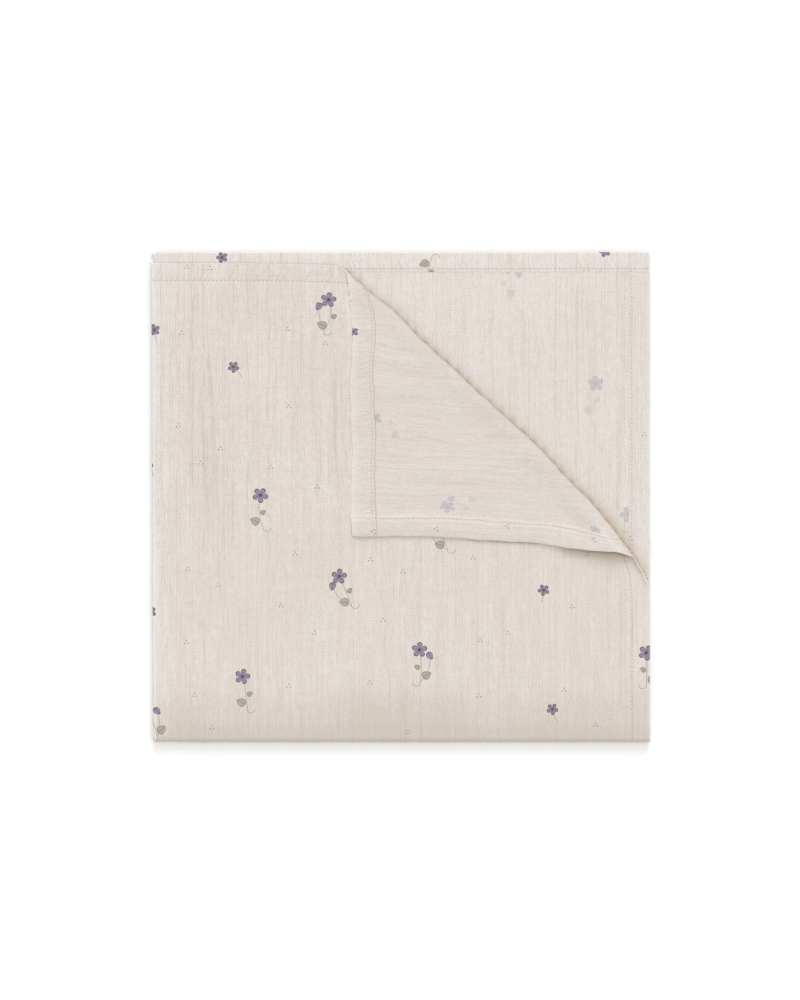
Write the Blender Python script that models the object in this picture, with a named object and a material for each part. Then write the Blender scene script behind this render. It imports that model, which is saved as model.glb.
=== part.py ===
"""A swaddle blanket of crinkled muslin: one hemmed cloth, folded in quarters, one corner turned down.

Metres, +Z up. The packet lies on the plane z = 0, centred on the z axis. Its first fold is the left
side (-X), its second fold the near side (-Y), and the hems lie at the right and at the far side.
Every point of the cloth has two cloth coordinates: u runs across it from the first fold and v along
it from the middle, positive for the quarter that ends up on top. fold() lays a point in place.

The quarters, from the top: (u+, v+) printed face up, (u-, v+) face down, (u-, v-) face up and
(u+, v-) face down on the plane. The (u+, v-) and (u+, v+) quarters wrap round the other two.
"""

from collections import namedtuple
from math import pi

import bmesh
import bpy
import numpy as np

MM = 0.001

# The cloth as it was cut and hemmed.
CLOTH_WIDTH = 1100 * MM
CLOTH_LENGTH = 1070 * MM
THICKNESS = 1.2 * MM
HEM_DEPTH = 22.5 * MM
HEM_STEP = 1.0 * MM
HEM_EXTRA = 0.8 * MM

# The folded packet: its sides, and how far each quarter's crinkles are drawn out along v. The
# quarters' free edges don't lie in line because of that, and the cloth shears beside the first fold.
PACKET_WIDTH = 550 * MM
PACKET_DEPTH = 540 * MM
TOP_DRAW = 0.9903
SECOND_DRAW = 1.0029
THIRD_DRAW = 0.990
BOTTOM_DRAW = 1.0035
SLIP_WIDTH = 6 * MM

# The stack: half the distance of two neighbouring quarters at the first fold and elsewhere, where
# the thicker hems begin to open the first fold, and the height of the second fold's axis above the
# middle of the lower two.
CREASE_HALF_GAP = 1.3 * MM
OPEN_HALF_GAP = 1.7 * MM
OPENING_RUN = 60 * MM
HEM_OPENING_START = 450 * MM
HEM_OPENING_RUN = 50 * MM
FOLD_HALF_HEIGHT = 2.7 * MM
LEFT_SLANT = 2.0 * MM
SLANT_RUN = 120 * MM

# Towards its two folds the packet rounds off: over these runs it loses these shares of its height.
LEFT_ROUND_RUN = 9 * MM
LEFT_ROUND = 0.20
NEAR_ROUND_RUN = 24 * MM
NEAR_ROUND = 0.18

# The loose middle of the packet: how much it stands up, and its low waves, in radians a metre.
LOFT = 2.0 * MM
LOFT_RUN = 60 * MM
WAVE_HEIGHT = 0.35 * MM
Wave = namedtuple("Wave", "per_x per_y start")
WAVES = (
    Wave(per_x=31, per_y=9, start=0),
    Wave(per_x=13, per_y=-37, start=1),
)

# The corner's fold: a straight axis, with the roll set off from it at stations along it. Crest is
# the offset of the roll's outline towards the near left, radius is the roll's, and stretch is how
# much of the turned cloth's length away from the fold is left after its crinkles draw in.
AXIS_START = np.array((-60.4, 255.4)) * MM
AXIS_DIRECTION = np.array((0.722, -0.692))
AXIS_NORMAL = np.array((-0.692, -0.722))
FLAP_SHEAR = 0.127
FLAP_GAP = 1.0 * MM
FLAP_SETTLE_RADII = 8
Station = namedtuple("Station", "along crest radius stretch")
STATIONS = (
    Station(along=-30, crest=5.0, radius=6.5, stretch=0.81),
    Station(along=0, crest=4.6, radius=6.5, stretch=0.81),
    Station(along=40, crest=2.9, radius=4.4, stretch=0.82),
    Station(along=72, crest=-0.4, radius=3.5, stretch=0.83),
    Station(along=110, crest=1.3, radius=3.3, stretch=0.85),
    Station(along=160, crest=0.4, radius=3.3, stretch=0.88),
    Station(along=231, crest=-0.5, radius=3.3, stretch=0.92),
    Station(along=287, crest=-2.3, radius=3.4, stretch=0.90),
    Station(along=320, crest=-0.6, radius=3.6, stretch=0.865),
    Station(along=344, crest=1.2, radius=3.9, stretch=0.84),
    Station(along=375, crest=1.2, radius=4.5, stretch=0.80),
    Station(along=405, crest=4.9, radius=5.3, stretch=0.725),
    Station(along=427, crest=8.5, radius=5.9, stretch=0.56),
    Station(along=450, crest=13.0, radius=6.5, stretch=0.33),
    Station(along=485, crest=22.0, radius=7.0, stretch=0.23),
)

# Where the corner's fold drags the top quarter along, in cloth coordinates and then in x and y.
Drag = namedtuple("Drag", "u v dx dy reach")
DRAGS = (
    Drag(u=212, v=535, dx=1.0, dy=-3.4, reach=70),
    Drag(u=550, v=224, dx=-14.5, dy=-9.0, reach=30),
    Drag(u=550, v=246, dx=-2.5, dy=0, reach=20),
)

# Cut lines of the blank, as distances from the fold they belong to. The faces between them stay flat.
CREASE_CUTS = (0.8, 1.6, 2.6, 4.2, 8)
OUTER_FOLD_CUTS = (0, 1.7, 3.4, 5.0, 6.6)
INNER_FOLD_CUTS = (0, 0.5, 1.0, 1.6)
FIELD_CUTS = (16, 34, 58, 100, 150, 205, 260, 315, 370, 425, 480)
ROLL_CUTS = (-40, -32, -25, -19, -14) + tuple(range(-10, 29, 2))
CUT_TOLERANCE = 0.0001 * MM
SLOPE_STEP = 0.02 * MM

MUSLIN_COLOUR = (0.74, 0.68, 0.63, 1)


def smooth(t):
    """0 below 0, 1 above 1, with an even slope at both ends."""
    t = np.clip(t, 0, 1)
    return t * t * (3 - 2 * t)


def station_column(name, along):
    """A column of the stations' table at distances along the axis, on a smooth curve through its rows."""
    at = np.array([row.along for row in STATIONS]) * MM
    values = np.array([getattr(row, name) for row in STATIONS], float)
    slopes = np.gradient(values, at)
    along = np.clip(along, at[0], at[-1])
    i = np.clip(np.searchsorted(at, along) - 1, 0, len(at) - 2)
    span = at[i + 1] - at[i]
    t = (along - at[i]) / span
    start = values[i] * (1 + 2 * t) * (1 - t) ** 2 + slopes[i] * span * t * (1 - t) ** 2
    end = values[i + 1] * t * t * (3 - 2 * t) + slopes[i + 1] * span * t * t * (t - 1)
    return start + end


def loft(x, y):
    """How much higher the loose middle of the packet stands than its edges."""
    inset_x = PACKET_WIDTH / 2 - np.abs(x)
    inset_y = PACKET_DEPTH / 2 - np.abs(y)
    dome = smooth(inset_x / LOFT_RUN) * smooth(inset_y / LOFT_RUN)
    waves = sum(np.sin(row.per_x * x + row.per_y * y + row.start) for row in WAVES)
    return dome * (LOFT + WAVE_HEIGHT * waves)


def rounded(x, y):
    """The share of its height that the packet keeps towards its folds, more at hems and their corner."""
    left = np.clip(1 - (x + PACKET_WIDTH / 2) / LEFT_ROUND_RUN, 0, 1) ** 2
    near = np.clip(1 - (y + PACKET_DEPTH / 2) / NEAR_ROUND_RUN, 0, 1) ** 2
    left *= smooth((y + PACKET_DEPTH / 2) / (30 * MM))
    left *= 1 - 0.75 * smooth((y + PACKET_DEPTH / 2 - HEM_OPENING_START) / HEM_OPENING_RUN)
    near *= smooth((x + PACKET_WIDTH / 2) / (30 * MM))
    near *= 1 - 0.6 * smooth((x - PACKET_WIDTH / 2 + 45 * MM) / (20 * MM))
    return (1 - LEFT_ROUND * left) * (1 - NEAR_ROUND * near)


def half_gap(u, q):
    """Half the distance between a quarter and the one across the first fold."""
    hem = smooth((np.abs(q) - HEM_OPENING_START) / HEM_OPENING_RUN)
    crease = CREASE_HALF_GAP + (OPEN_HALF_GAP - CREASE_HALF_GAP) * hem
    field = smooth((np.abs(u) - pi / 2 * crease) / OPENING_RUN)
    return crease, crease + (OPEN_HALF_GAP - crease) * field


def quarter(u, v):
    """The cloth folded in quarters, before its corner is turned down: x, y and z of its middle."""
    slip = smooth(-u / SLIP_WIDTH)
    upper_draw = TOP_DRAW + (SECOND_DRAW - TOP_DRAW) * slip
    lower_draw = BOTTOM_DRAW + (THIRD_DRAW - BOTTOM_DRAW) * slip
    q = v * np.where(v > 0, upper_draw, lower_draw)
    crease, half = half_gap(u, q)
    bend = np.clip(u / crease, -pi / 2, pi / 2)
    run = np.maximum(np.abs(u) - pi / 2 * crease, 0)
    x = -PACKET_WIDTH / 2 + THICKNESS / 2 + crease * (1 - np.cos(bend)) + run
    height = np.sin(bend) * half
    radius = FOLD_HALF_HEIGHT + height
    turn = np.clip(q / radius, -pi / 2, pi / 2)
    outer = FOLD_HALF_HEIGHT + half
    run = np.maximum(np.abs(q) - pi / 2 * radius, 0)
    y = -PACKET_DEPTH / 2 + THICKNESS / 2 + FOLD_HALF_HEIGHT + OPEN_HALF_GAP - radius * np.cos(turn) + run
    level = radius * np.sin(turn) + outer
    x = x + LEFT_SLANT * (0.5 - (y / PACKET_DEPTH + 0.5)) * smooth(1 - (x + PACKET_WIDTH / 2) / SLANT_RUN)
    return x, y, level * (1 + loft(x, y) / (2 * outer)) * rounded(x, y) + THICKNESS / 2


def top_level(x, y):
    """The height of the top quarter's middle, away from the first fold."""
    level = 2 * (FOLD_HALF_HEIGHT + OPEN_HALF_GAP) + loft(x, y)
    return level * rounded(x, y) + THICKNESS / 2


def turn_corner(u, v, x, y, z):
    """The top quarter with its far right corner turned down over the stations' roll."""
    for row in DRAGS:
        near = np.exp(-((u - row.u * MM) ** 2 + (v - row.v * MM) ** 2) / (row.reach * MM) ** 2)
        x = x + row.dx * MM * near
        y = y + row.dy * MM * near
    along = (x - AXIS_START[0]) * AXIS_DIRECTION[0] + (y - AXIS_START[1]) * AXIS_DIRECTION[1]
    off = (x - AXIS_START[0]) * AXIS_NORMAL[0] + (y - AXIS_START[1]) * AXIS_NORMAL[1]
    radius = station_column("radius", along) * MM
    start = station_column("crest", along) * MM + radius
    beyond = start - off
    turn = np.clip(beyond / radius, 0, pi)
    flat = np.maximum(beyond - pi * radius, 0)
    rolled_off = start - radius * np.sin(turn) + station_column("stretch", along) * flat
    rolled_along = along - FLAP_SHEAR * flat
    settled = smooth(flat / (FLAP_SETTLE_RADII * radius))
    rest = THICKNESS + FLAP_GAP
    lift = radius * (1 - np.cos(turn)) * (1 - settled) + rest * settled
    turned_x = AXIS_START[0] + rolled_along * AXIS_DIRECTION[0] + rolled_off * AXIS_NORMAL[0]
    turned_y = AXIS_START[1] + rolled_along * AXIS_DIRECTION[1] + rolled_off * AXIS_NORMAL[1]
    turned_z = top_level(turned_x, turned_y) + lift
    over = beyond > 0
    return np.where(over, turned_x, x), np.where(over, turned_y, y), np.where(over, turned_z, z)


def fold(u, v):
    """Where the middle of the cloth lies at u, v, as rows of x, y, z."""
    x, y, z = quarter(u, v)
    turned = turn_corner(u, v, x, y, z)
    on_top = (u > 0) & (v > 0)
    return np.stack([np.where(on_top, bent, flat) for bent, flat in zip(turned, (x, y, z))], axis=1)


def face_normals(u, v):
    """Unit normals on the cloth's printed side."""
    across = fold(u + SLOPE_STEP, v) - fold(u - SLOPE_STEP, v)
    length = fold(u, v + SLOPE_STEP) - fold(u, v - SLOPE_STEP)
    normals = np.cross(across, length)
    return normals / np.linalg.norm(normals, axis=1, keepdims=True)


def hem_extra(u, v):
    """How much the turned hem adds to the back of the cloth."""
    inset = np.minimum(CLOTH_WIDTH / 2 - np.abs(u), CLOTH_LENGTH / 2 - np.abs(v))
    return HEM_EXTRA * np.clip((HEM_DEPTH + HEM_STEP - inset) / HEM_STEP, 0, 1)


def cut(blank, faces, point, normal):
    """Splits some of the blank's faces along the line through a point."""
    edges = {edge for face in faces for edge in face.edges}
    verts = {vert for face in faces for vert in face.verts}
    bmesh.ops.bisect_plane(
        blank,
        geom=list(faces) + list(edges) + list(verts),
        dist=CUT_TOLERANCE,
        plane_co=(*point, 0),
        plane_no=(*normal, 0),
    )


def cut_blank():
    """The flat cloth in u and v, cut along every line where it bends."""
    blank = bmesh.new()
    half_width, half_length = CLOTH_WIDTH / 2, CLOTH_LENGTH / 2
    corners = ((-1, -1), (1, -1), (1, 1), (-1, 1))
    blank.faces.new([blank.verts.new((i * half_width, j * half_length, 0)) for i, j in corners])
    cut(blank, blank.faces[:], (0, 0), (1, 0))
    hem_cuts = (HEM_DEPTH, HEM_DEPTH + HEM_STEP)
    for side in (-1, 1):
        for distance in CREASE_CUTS + FIELD_CUTS:
            cut(blank, blank.faces[:], (side * distance * MM, 0), (1, 0))
        for inset in hem_cuts:
            cut(blank, blank.faces[:], (side * (half_width - inset), 0), (1, 0))
            cut(blank, blank.faces[:], (0, side * (half_length - inset)), (0, 1))
    halves = ((1, -SLIP_WIDTH, OUTER_FOLD_CUTS), (-1, 0, INNER_FOLD_CUTS))
    for half, reach, fold_cuts in halves:
        for distance in fold_cuts + FIELD_CUTS:
            for side in (-1, 1):
                faces = [face for face in blank.faces if half * face.calc_center_median().x > reach]
                cut(blank, faces, (0, side * distance * MM), (0, 1))
    sample = np.array([half_width / 2]), np.array([half_length / 2])
    start = AXIS_START + np.subtract(sample, quarter(*sample)[:2]).ravel()
    for distance in ROLL_CUTS:
        faces = [face for face in blank.faces if min(face.calc_center_median().xy) > 0]
        cut(blank, faces, start + distance * MM * AXIS_NORMAL, AXIS_NORMAL)
    bmesh.ops.triangulate(blank, faces=blank.faces[:])
    blank.verts.ensure_lookup_table()
    return blank


def folded_cloth(name, material):
    """One closed solid: the printed side, the back with its thicker hems, and the edge between."""
    blank = cut_blank()
    u, v = np.array([vert.co.xy for vert in blank.verts], float).T
    middle = fold(u, v)
    normals = face_normals(u, v)
    back_offset = THICKNESS / 2 + hem_extra(u, v)
    points = np.concatenate([middle + THICKNESS / 2 * normals, middle - back_offset[:, None] * normals])
    low, high = points.min(axis=0), points.max(axis=0)
    points -= ((low[0] + high[0]) / 2, (low[1] + high[1]) / 2, low[2])
    count = len(u)
    printed = [[vert.index for vert in face.verts] for face in blank.faces]
    back = [[index + count for index in reversed(face)] for face in printed]
    rims = [loop for edge in blank.edges if edge.is_boundary for loop in edge.link_loops]
    starts = [(loop.vert.index, loop.link_loop_next.vert.index) for loop in rims]
    edge_faces = [[end, start, start + count, end + count] for start, end in starts]
    blank.free()
    mesh = bpy.data.meshes.new(name)
    mesh.from_pydata(points.tolist(), [], printed + back + edge_faces)
    mesh.materials.append(material)
    mesh.shade_smooth()
    mesh.set_sharp_from_angle(angle=pi / 3)
    cloth = bpy.data.objects.new(name, mesh)
    bpy.context.scene.collection.objects.link(cloth)
    return cloth


def muslin():
    """Warm off-white cotton gauze."""
    material = bpy.data.materials.new("muslin")
    material.use_nodes = True
    shader = material.node_tree.nodes["Principled BSDF"]
    shader.inputs["Base Color"].default_value = MUSLIN_COLOUR
    shader.inputs["Roughness"].default_value = 0.95
    shader.inputs["Metallic"].default_value = 0
    shader.inputs["Sheen Weight"].default_value = 0.2
    return material


for startup_object in list(bpy.data.objects):
    bpy.data.objects.remove(startup_object)
folded_cloth("swaddle_blanket", muslin())
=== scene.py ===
"""A swaddle blanket of printed, crinkled muslin, folded in quarters, its top corner turned down.

Metres, +Z up, in the frame's own place. Every point of the cloth has two cloth coordinates: u runs
across it from the first fold (the left side, -X), and v along it from the second fold (the near
side, -Y). The top quarter is u+, v+; the second one, under it, is u-, v+. lay() places a point.
"""

from collections import namedtuple
from functools import partialmethod
from math import pi
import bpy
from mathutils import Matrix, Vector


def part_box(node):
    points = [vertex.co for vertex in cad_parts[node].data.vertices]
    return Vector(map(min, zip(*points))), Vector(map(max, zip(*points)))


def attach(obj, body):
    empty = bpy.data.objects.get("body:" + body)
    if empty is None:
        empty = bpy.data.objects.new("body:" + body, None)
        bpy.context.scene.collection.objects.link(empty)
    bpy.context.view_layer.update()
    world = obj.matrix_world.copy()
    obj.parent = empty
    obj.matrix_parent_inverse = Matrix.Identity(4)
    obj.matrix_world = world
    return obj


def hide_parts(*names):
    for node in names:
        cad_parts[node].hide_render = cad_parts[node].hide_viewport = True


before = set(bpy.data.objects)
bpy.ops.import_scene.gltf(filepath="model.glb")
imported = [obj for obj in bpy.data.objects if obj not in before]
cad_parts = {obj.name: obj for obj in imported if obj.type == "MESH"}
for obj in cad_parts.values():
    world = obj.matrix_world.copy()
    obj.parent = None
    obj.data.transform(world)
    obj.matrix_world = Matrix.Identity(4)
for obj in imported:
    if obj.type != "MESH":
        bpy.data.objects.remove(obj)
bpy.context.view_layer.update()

from types import SimpleNamespace

import bmesh
import bpy
import numpy as np
from mathutils import Vector

MM = 0.001


def table(columns, *rows):
    """Rows of numbers under named columns."""
    row_type = namedtuple("Row", columns)
    return [row_type(*row) for row in rows]


# The cloth and its folds, as in the frame.
CLOTH_WIDTH = 1100 * MM
CLOTH_LENGTH = 1070 * MM
HALF_WIDTH = CLOTH_WIDTH / 2
HALF_LENGTH = CLOTH_LENGTH / 2
THICKNESS = 1.0 * MM
STITCH_INSET = 19.6 * MM
HEM_DEPTH = 21.8 * MM
HEM_STEP = 1.0 * MM
HEM_EXTRA = 0.65 * MM
HEM_OVERLAP_EXTRA = 0.3 * MM
PACKET_WIDTH = 550 * MM
PACKET_DEPTH = 540 * MM
FRAME_THICKNESS = 1.2 * MM
TOP_DRAW = 0.9903
SECOND_DRAW = 1.0029
THIRD_DRAW = 0.990
BOTTOM_DRAW = 1.0035
SLIP_WIDTH = 6 * MM
CREASE_HALF_GAP = 1.3 * MM
OPEN_HALF_GAP = 1.7 * MM
OPENING_RUN = 60 * MM
HEM_OPENING_START = 450 * MM
HEM_OPENING_RUN = 50 * MM
FOLD_HALF_HEIGHT = 2.7 * MM
LEFT_SLANT = 2.0 * MM
LEFT_DRAW_IN = 1.5 * MM
SLANT_RUN = 120 * MM
LOFT = 2.0 * MM
LOFT_RUN = 60 * MM
WAVE_HEIGHT = 0.35 * MM
WAVES = table(
    "per_x per_y start",
    (31, 9, 0),
    (13, -37, 1),
)
AXIS_START = np.array((-60.4, 255.4)) * MM
AXIS_DIRECTION = np.array((0.722, -0.692))
AXIS_NORMAL = np.array((-0.692, -0.722))
FLAP_SHEAR = 0.127
FLAP_GAP = 0.4 * MM
CURL = 4.5 * MM
CURL_AT = 265 * MM
CURL_REACH = 45 * MM
CURL_DEPTH = 28 * MM
CURL_RUN = 12 * MM
HEM_ARC = 0.9 * MM
HEM_ARC_WIDTH = 26 * MM
HEM_ARC_POWER = 0.7
FLAP_SETTLE_RADII = 8
STATIONS = table(
    "along crest radius stretch rise",
    (-30, 5.0, 6.5, 0.81, 0.24),
    (0, 4.6, 6.5, 0.81, 0.24),
    (40, 2.9, 4.4, 0.82, 0.26),
    (72, -0.4, 3.5, 0.83, 0.36),
    (110, 1.3, 3.3, 0.85, 0.44),
    (160, 0.4, 3.3, 0.88, 0.46),
    (231, -0.5, 3.3, 0.92, 0.46),
    (287, -2.3, 3.4, 0.90, 0.46),
    (320, -0.6, 3.6, 0.865, 0.46),
    (344, 1.2, 3.9, 0.84, 0.46),
    (375, 1.2, 4.5, 0.80, 0.46),
    (405, 4.9, 5.3, 0.725, 0.55),
    (427, 8.5, 5.9, 0.56, 0.5),
    (450, 13.0, 6.5, 0.33, 0.42),
    (485, 22.0, 7.0, 0.23, 0.36),
)
DRAGS = table(
    "u v dx dy reach",
    (212, 535, 1.0, -2.0, 70),
    (243, 535, 0, -4.2, 32),
    (284, 535, 0, -3.4, 28),
    (550, 224, -14.5, -9.0, 30),
    (550, 246, -2.5, 0, 20),
)

# The gauze's crinkles, all in millimetres: long soft ridges along v with narrow valleys.
CRINKLES = table(
    "width length height seed",
    (5.2, 95, 0.17, 11),
    (9.0, 150, 0.11, 12),
    (24, 210, 0.12, 13),
)
# The edges and the turned corner's fold wander by this much, at these lengths.
EDGE_WANDER = 0.25 * MM
END_WANDER_LENGTH = 38 * MM
SIDE_WANDER_LENGTH = 45 * MM
END_WANDER_FROM = 400 * MM
SIDE_WANDER_FROM = 420 * MM
WANDER_RUN = 130 * MM
CREST_WANDER = 0.55 * MM
CREST_WANDER_LENGTH = 5.5 * MM

# The top quarter's far hem thins by this share over this run to its edge. The second quarter's is
# flatter by its own share.
EDGE_TAPER = 6 * MM
EDGE_THINNING = 0.8
SECOND_HEM_FLATTER = 0.45
FOLD_FADE = 20 * MM
GROOVE_DEPTH = 0.28 * MM
GROOVE_WIDTH = 0.9 * MM
CREASE_BOW = 1.2 * MM
CREASE_TAPER = 0.25

# Crinkles fade at the first fold, and at the hems to this share.
VALLEY_WIDTH = 0.28
CRINKLE_FADE = 12 * MM
HEM_CRINKLE = 0.35

# Towards its two folds the packet rounds off: over these runs it loses these shares of its height.
LEFT_ROUND_RUN = 9 * MM
LEFT_ROUND = 0.20
NEAR_ROUND_RUN = 24 * MM
NEAR_ROUND = 0.18
ROUND_RUN = 30 * MM
HEM_CORNER = 45 * MM
HEM_CORNER_RUN = 20 * MM
LEFT_HEM_KEPT = 0.75
NEAR_HEM_KEPT = 0.6

# The turned corner's hems along its left and its lower side are eased this much wider over these
# runs from its roll, the lower one more towards its right end, and the second quarter's far hem is
# eased narrower.
BAND_EASE = 3.0 * MM
BAND_EASE_RUN = 9 * MM
LOWER_BAND_EASE = 2.4 * MM
LOWER_BAND_RUN = 40 * MM
LOWER_BAND_MORE = 0.8
LOWER_BAND_MORE_RUN = 200 * MM
FAR_BAND_EASE = 1.2 * MM
BAND_WIDTH = 22 * MM
BAND_FADE = 45 * MM

# Creases laid in one by one: troughs from one point of the cloth to another, in millimetres.
CREASES = table(
    "u0 v0 u1 v1 width depth",
    (45, 470, 42, 395, 1.6, 0.35),
    (64, 446, 69, 370, 1.8, 0.50),
    (69, 372, 70, 322, 1.8, 0.45),
    (92, 300, 90, 205, 1.7, 0.30),
    (178, 470, 182, 330, 2.6, 0.45),
    (204, 440, 206, 250, 2.6, 0.40),
    (150, 210, 153, 110, 1.7, 0.30),
    (262, 190, 259, 70, 1.7, 0.30),
    (388, 170, 391, 60, 1.9, 0.35),
    (520, 190, 518, 30, 2.2, 0.45),
    (56, 450, 58, 205, 22, 0.26),
    (-518, 480, -520, 330, 2.2, 0.60),
    (-517, 340, -514, 240, 2.0, 0.45),
    (-469, 500, -470, 360, 1.8, 0.45),
    (-484, 440, -486, 300, 1.8, 0.40),
    (-411, 470, -410, 390, 1.7, 0.40),
    (-399, 430, -401, 330, 1.6, 0.30),
    (-352, 505, -350, 430, 1.6, 0.30),
    (421, 472, 432, 415, 1.5, -0.40),
    (399, 484, 400, 436, 1.4, -0.30),
    (428, 484, 430, 428, 1.4, -0.30),
    (480, 486, 482, 392, 1.3, -0.25),
)


def smooth(t):
    """0 below 0, 1 above 1, with an even slope at both ends."""
    t = np.clip(t, 0, 1)
    return t * t * (3 - 2 * t)


def noise(x, y, seed):
    """Smooth noise from -1 to 1 with one random value a unit, the same for the same seed."""
    size = 256
    table = np.random.default_rng(seed).uniform(-1, 1, (size, size))
    i, j = np.floor(x).astype(int), np.floor(y).astype(int)
    s, t = smooth(x - i), smooth(y - j)
    near = table[i % size, j % size] * (1 - s) + table[(i + 1) % size, j % size] * s
    far = table[i % size, (j + 1) % size] * (1 - s) + table[(i + 1) % size, (j + 1) % size] * s
    return near * (1 - t) + far * t


def station_column(name, along):
    """A column of the stations' table along the axis, on a smooth curve through its rows."""
    at = np.array([row.along for row in STATIONS]) * MM
    values = np.array([getattr(row, name) for row in STATIONS], float)
    slopes = np.gradient(values, at)
    along = np.clip(along, at[0], at[-1])
    i = np.clip(np.searchsorted(at, along) - 1, 0, len(at) - 2)
    span = at[i + 1] - at[i]
    t = (along - at[i]) / span
    start = values[i] * (1 + 2 * t) * (1 - t) ** 2 + slopes[i] * span * t * (1 - t) ** 2
    end = values[i + 1] * t * t * (3 - 2 * t) + slopes[i + 1] * span * t * t * (t - 1)
    return start + end


def loft(x, y):
    """How much higher the loose middle of the packet stands than its edges."""
    inset_x = PACKET_WIDTH / 2 - np.abs(x)
    inset_y = PACKET_DEPTH / 2 - np.abs(y)
    dome = smooth(inset_x / LOFT_RUN) * smooth(inset_y / LOFT_RUN)
    waves = sum(np.sin(row.per_x * x + row.per_y * y + row.start) for row in WAVES)
    return dome * (LOFT + WAVE_HEIGHT * waves)


def rounded(x, y):
    """The share of its height that the packet keeps towards its folds, more at its hems."""
    from_left, from_near = x + PACKET_WIDTH / 2, y + PACKET_DEPTH / 2
    left = np.clip(1 - from_left / LEFT_ROUND_RUN, 0, 1) ** 2 * smooth(from_near / ROUND_RUN)
    near = np.clip(1 - from_near / NEAR_ROUND_RUN, 0, 1) ** 2 * smooth(from_left / ROUND_RUN)
    left *= 1 - LEFT_HEM_KEPT * smooth((from_near - HEM_OPENING_START) / HEM_OPENING_RUN)
    near *= 1 - NEAR_HEM_KEPT * smooth((from_left - PACKET_WIDTH + HEM_CORNER) / HEM_CORNER_RUN)
    return (1 - LEFT_ROUND * left) * (1 - NEAR_ROUND * near)


def hem_band(inset):
    """1 at the hem's inner edge and 0 at the cloth's edge and well inside it."""
    return smooth(inset / BAND_WIDTH) * smooth(1 - (inset - BAND_WIDTH) / BAND_FADE)


def half_gap(u, q):
    """Half the distance between a quarter and the one across the first fold."""
    hem = smooth((np.abs(q) - HEM_OPENING_START) / HEM_OPENING_RUN)
    crease = CREASE_HALF_GAP + (OPEN_HALF_GAP - CREASE_HALF_GAP) * hem
    field = smooth((np.abs(u) - pi / 2 * crease) / OPENING_RUN)
    return crease, crease + (OPEN_HALF_GAP - crease) * field


def quarter(u, v):
    """The cloth folded in quarters, before its corner is turned down: x, y and z of its middle."""
    near_end = smooth((np.abs(v) - END_WANDER_FROM) / WANDER_RUN)
    v = v + EDGE_WANDER * near_end * noise(u / END_WANDER_LENGTH, v * 0 + 3, 21)
    near_side = smooth((np.abs(u) - SIDE_WANDER_FROM) / WANDER_RUN)
    u = u + EDGE_WANDER * near_side * noise(v / SIDE_WANDER_LENGTH, v * 0 + 5, 22)
    slip = smooth(-u / SLIP_WIDTH)
    upper_draw = TOP_DRAW + (SECOND_DRAW - TOP_DRAW) * slip
    lower_draw = BOTTOM_DRAW + (THIRD_DRAW - BOTTOM_DRAW) * slip
    q = v * np.where(v > 0, upper_draw, lower_draw)
    crease, half = half_gap(u, q)
    bend = np.clip(u / crease, -pi / 2, pi / 2)
    run = np.maximum(np.abs(u) - pi / 2 * crease, 0)
    x = -PACKET_WIDTH / 2 + FRAME_THICKNESS / 2 + crease * (1 - np.cos(bend)) + run
    height = np.sin(bend) * half
    radius = FOLD_HALF_HEIGHT + height
    turn = np.clip(q / radius, -pi / 2, pi / 2)
    outer = FOLD_HALF_HEIGHT + half
    run = np.maximum(np.abs(q) - pi / 2 * radius, 0)
    near_edge = -PACKET_DEPTH / 2 + FRAME_THICKNESS / 2 + FOLD_HALF_HEIGHT + OPEN_HALF_GAP
    y = near_edge - radius * np.cos(turn) + run
    level = radius * np.sin(turn) + outer
    y = y + FAR_BAND_EASE * hem_band(HALF_LENGTH - v) * slip
    drawn_in = LEFT_DRAW_IN - LEFT_SLANT * y / PACKET_DEPTH
    x = x + drawn_in * smooth(1 - (x + PACKET_WIDTH / 2) / SLANT_RUN)
    return x, y, level * (1 + loft(x, y) / (2 * outer)) * rounded(x, y) + FRAME_THICKNESS / 2


def top_level(x, y):
    """The height of the top quarter's middle, away from the first fold."""
    level = 2 * (FOLD_HALF_HEIGHT + OPEN_HALF_GAP) + loft(x, y)
    return level * rounded(x, y) + FRAME_THICKNESS / 2


def crest_offset(along):
    """How far off its axis the turned corner's fold lies, a little uneven."""
    wander = CREST_WANDER * noise(along / CREST_WANDER_LENGTH, along * 0 + 2, 23)
    return station_column("crest", along) * MM + wander


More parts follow.
